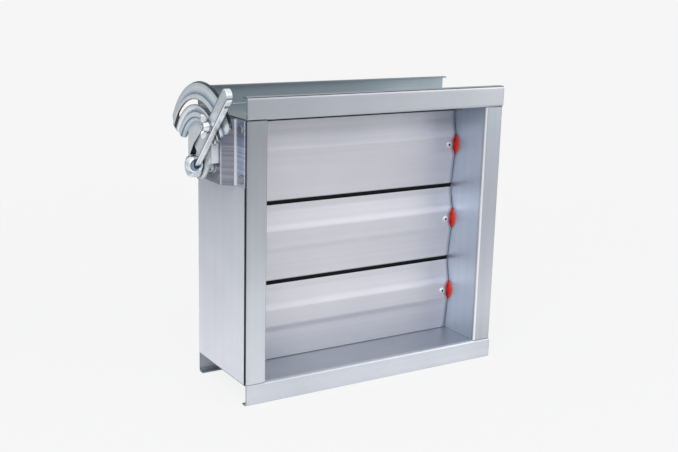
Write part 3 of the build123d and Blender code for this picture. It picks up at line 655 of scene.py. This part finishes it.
zinc_pale, painted_gap_teal, plate_gloss = (0.93, 0.965, 0.99), (0.035, 0.075, 0.095), 0.24
finish_nodes(bright_plate("quadrant_plate", zinc_pale, painted_gap_teal, plate_gloss,
                          tones=painted_ring_shading), "quadrant")
finish_nodes(bright_plate("lever_plate", zinc_pale, painted_gap_teal, plate_gloss, rim=0.0008,
                          tones=painted_lever_shading), "lever")
finish_nodes(bright_plate("bearing_plate", zinc_pale, painted_gap_teal, plate_gloss), "outer_bearing")
bolt_metal = bright_plate("bolt_zinc", (0.88, 0.92, 0.96), (0.03, 0.05, 0.07), 0.22)
finish_nodes(bolt_metal, "bearing_bolts", "bearing_nuts", "lock_bolt", "lock_washer",
             "hub_set_screw", "lever_hub")


# ---------------------------------------------------------------- hub cap and clamp screw
# Two bright zinc-plated steel fittings of the lever's hub: a low domed cap pressed over the
# shaft's end, and the broad round head of the clamp screw, with a dish, which faces forward; the
# dish's blue-grey is painted reflection.
hub_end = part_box("lever_hub")[0][0]
cap_profile = np.array([(-2.5, 0.0), (-2.5, 8.4), (0.25, 8.4), (0.75, 7.9), (1.05, 6.0),
                        (1.25, 3.0), (1.3, 0.0)]) * MM
cap_profile[:, 0] = hub_end - cap_profile[:, 0]
put_mesh("hub_end_cap", [turned(cap_profile, drive_centre[1:], 0, 64)], "top_blade",
         bolt_metal)
screw_x, screw_z = -0.2118, drive_centre[2] + 0.0004
head_profile = np.array([(1.5, 0.0), (1.5, 8.2), (2.2, 8.9), (11.4, 8.9), (12.2, 8.5),
                         (12.6, 7.8), (12.4, 6.9), (11.6, 6.2), (10.8, 5.6), (10.3, 3.5),
                         (10.1, 0.0)]) * MM
head_profile[:, 0] *= -1


def painted_dish_reflection(tree):
    """Painted reflection by distance from the screw's middle: blue-grey in the dish, pale on the
    rim.
    """
    far = distance_from(tree, (screw_x, 0.0, screw_z), (1, 0, 1))
    return toned(tree, far, [
        (0.0, (0.55, 0.68, 0.80)), (3.0, (0.40, 0.52, 0.64)), (5.8, (0.26, 0.36, 0.46)),
        (6.6, (0.62, 0.72, 0.80)), (7.4, plain)])


screw_zinc = bright_plate("clamp_screw_plate", zinc_pale, painted_gap_teal, plate_gloss, reach=0.003,
                          tones=painted_dish_reflection)
put_mesh("hub_clamp_screw", [turned(head_profile, (screw_x, screw_z), 1, 64)], "top_blade",
         screw_zinc)


# ---------------------------------------------------------------- wing nut
# Pressed-steel wing nut on the lock bolt, bright zinc plated: a coned hub and two leaf-shaped
# wings, one up and one down, thin at their rims.
nut_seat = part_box("wing_nut")[1][0]
nut_y, nut_z = -0.047915, 0.14475
nut_profile = np.array([
    (0.0, 2.62), (0.0, 5.4), (0.5, 5.6), (1.4, 5.5), (4.6, 4.7), (5.9, 4.3), (6.4, 3.7),
    (6.4, 2.62), (0.0, 2.62)]) * MM
nut_profile[:, 0] = nut_seat - nut_profile[:, 0]
leaf_root, leaf_length = 3.4 * MM, 10.0 * MM
root_half, leaf_swell = 2.4 * MM, 1.5 * MM
root_thick, leaf_thinning = 1.45 * MM, 0.55 * MM
root_lift, tip_lift = 2.9 * MM, 3.5 * MM


def leaf(side):
    """One wing: ovals along a line that leaves the hub and rises outward.

    Half width is that of the root plus the swell times sin(pi reach^0.9)^1.2, rounded at the tip
    by sqrt(1 - reach^7); half thickness falls evenly, rounded by sqrt(1 - reach^9).
    """
    reach = np.linspace(0, 1, 26)[:, None]
    turn = np.linspace(0, 2 * np.pi, 29)
    width = root_half + leaf_swell * np.sin(np.pi * reach ** 0.9) ** 1.2
    width = width * np.sqrt(np.clip(1 - reach ** 7, 0, 1))
    thick = (root_thick - leaf_thinning * reach) * np.sqrt(np.clip(1 - reach ** 9, 0, 1))
    grid = np.empty((len(reach), len(turn), 3))
    grid[..., 0] = nut_seat - root_lift - tip_lift * reach ** 0.8 + width * np.cos(turn)
    grid[..., 1] = nut_y + thick * np.sin(turn)
    grid[..., 2] = nut_z + side * (leaf_root + leaf_length * reach)
    middle = np.repeat(grid[:1].mean(1, keepdims=True), len(turn), 1)
    return np.concatenate([middle, grid])


nut_shapes = [turned(nut_profile, (nut_y, nut_z), 0, 40), leaf(-1), leaf(1)]
put_mesh("wing_nut_leaves", nut_shapes, "wing_nut", bolt_metal, ("wing_nut",),
         sharp=0.9)


# ---------------------------------------------------------------- floor, light and camera
# A pale floor that runs out into an even pale ground, two large soft lamps, and one camera.
background = (0.921, 0.921, 0.921)
floor_half, glow_share, floor_gloss, sky_gloss = 3.0, 0.93, 0.5, 0.12
fade_from, fade_to = 0.30, 1.45
corners = np.array([(-1, -1, 0), (1, -1, 0), (1, 1, 0), (-1, 1, 0)], float) * floor_half
corners[:, 2] = cad_box[0][2]
floor_mesh = bpy.data.meshes.new("floor")
floor_mesh.from_pydata(corners.tolist(), [], [(0, 1, 2, 3)])
floor = bpy.data.objects.new("floor", floor_mesh)
bpy.context.scene.collection.objects.link(floor)
floor_paint, tree, shader = new_material("floor_paint")
floor_mesh.materials.append(floor_paint)
shader.inputs["Base Color"].default_value = (0.88, 0.88, 0.88, 1)
shader.inputs["Roughness"].default_value = 1.0
shader.inputs["Specular IOR Level"].default_value = 0.0
glow = add(tree, "ShaderNodeEmission", {"Color": (*background, 1), "Strength": 1.0})


def pale_rays(tree, gloss_share):
    """1 for camera and transmission rays, a share of it for glossy rays, 0 for the rest."""
    rays = add(tree, "ShaderNodeLightPath")
    gloss = add(tree, "ShaderNodeMath", {0: rays.outputs["Is Glossy Ray"], 1: gloss_share},
                operation="MULTIPLY")
    seen = add(tree, "ShaderNodeMath", {0: rays.outputs["Is Camera Ray"],
                                        1: rays.outputs["Is Transmission Ray"]},
               operation="MAXIMUM")
    return add(tree, "ShaderNodeMath", {0: seen.outputs[0], 1: gloss.outputs[0]},
               operation="MAXIMUM").outputs[0]


share = add(tree, "ShaderNodeMath", {0: pale_rays(tree, floor_gloss), 1: glow_share},
            operation="MULTIPLY")
lit = add(tree, "ShaderNodeMixShader",
          {0: share.outputs[0], 1: shader.outputs[0], 2: glow.outputs[0]})
far = distance_from(tree, (0, 0, 0), (1, 1, 1))
fade = add(tree, "ShaderNodeMapRange", {"Value": far, "From Min": fade_from,
                                        "From Max": fade_to}, interpolation_type="SMOOTHSTEP")
clear = add(tree, "ShaderNodeBsdfTransparent")
faded = add(tree, "ShaderNodeMixShader",
            {0: fade.outputs["Result"], 1: lit.outputs[0], 2: clear.outputs[0]})
tree.links.new(faded.outputs[0], tree.nodes["Material Output"].inputs["Surface"])

world = bpy.data.worlds.new("studio")
bpy.context.scene.world = world
world.use_nodes = True
tree = world.node_tree
sky = tree.nodes["Background"]
where = add(tree, "ShaderNodeTexCoord")
split = add(tree, "ShaderNodeSeparateXYZ", {0: where.outputs["Generated"]})
up = add(tree, "ShaderNodeMapRange", {"Value": split.outputs[2], "From Min": -1.0,
                                      "From Max": 1.0}).outputs["Result"]
room = ramp(tree, up, [(0.0, (0.62, 0.63, 0.64)), (0.36, (0.40, 0.41, 0.43)),
                       (0.46, (0.25, 0.27, 0.30)), (0.60, (0.20, 0.23, 0.26)),
                       (0.70, (0.62, 0.64, 0.67)), (1.0, (0.76, 0.77, 0.79))])
tree.links.new(mixed(tree, pale_rays(tree, sky_gloss), room, background), sky.inputs["Color"])
sky.inputs["Strength"].default_value = 1.0


def soft_lamp(name, place, width, power):
    """Square lamp at a place, turned to face the origin."""
    data = bpy.data.lights.new(name, "AREA")
    data.shape = "RECTANGLE"
    data.size, data.size_y = width, width
    data.energy = power
    lamp = bpy.data.objects.new(name, data)
    bpy.context.scene.collection.objects.link(lamp)
    lamp.location = place
    lamp.rotation_euler = (-Vector(place)).to_track_quat("-Z", "Y").to_euler()


soft_lamp("key", (-1.3, -1.6, 1.6), 1.8, 44)
soft_lamp("fill", (1.6, -1.4, 0.8), 1.8, 15)

camera_data = bpy.data.cameras.new("camera")
camera_data.sensor_width, camera_data.lens = 36.0, 56.95
camera = bpy.data.objects.new("camera", camera_data)
bpy.context.scene.collection.objects.link(camera)
bpy.context.scene.camera = camera
camera_place = (-0.68685, -1.07890, 0.31200)
yaw, pitch, roll = 0.5548, 0.2370, 0.0253
view = np.array((np.sin(yaw) * np.cos(pitch), np.cos(yaw) * np.cos(pitch), -np.sin(pitch)))
level = np.array((np.cos(yaw), -np.sin(yaw), 0.0))
rise = np.cross(level, view)
pose = np.eye(4)
pose[:3, 0] = np.cos(roll) * level + np.sin(roll) * rise
pose[:3, 1] = np.cos(roll) * rise - np.sin(roll) * level
pose[:3, 2] = -view
pose[:3, 3] = camera_place
camera.matrix_world = Matrix(pose.tolist())
bpy.context.scene.view_settings.view_transform = "Standard"
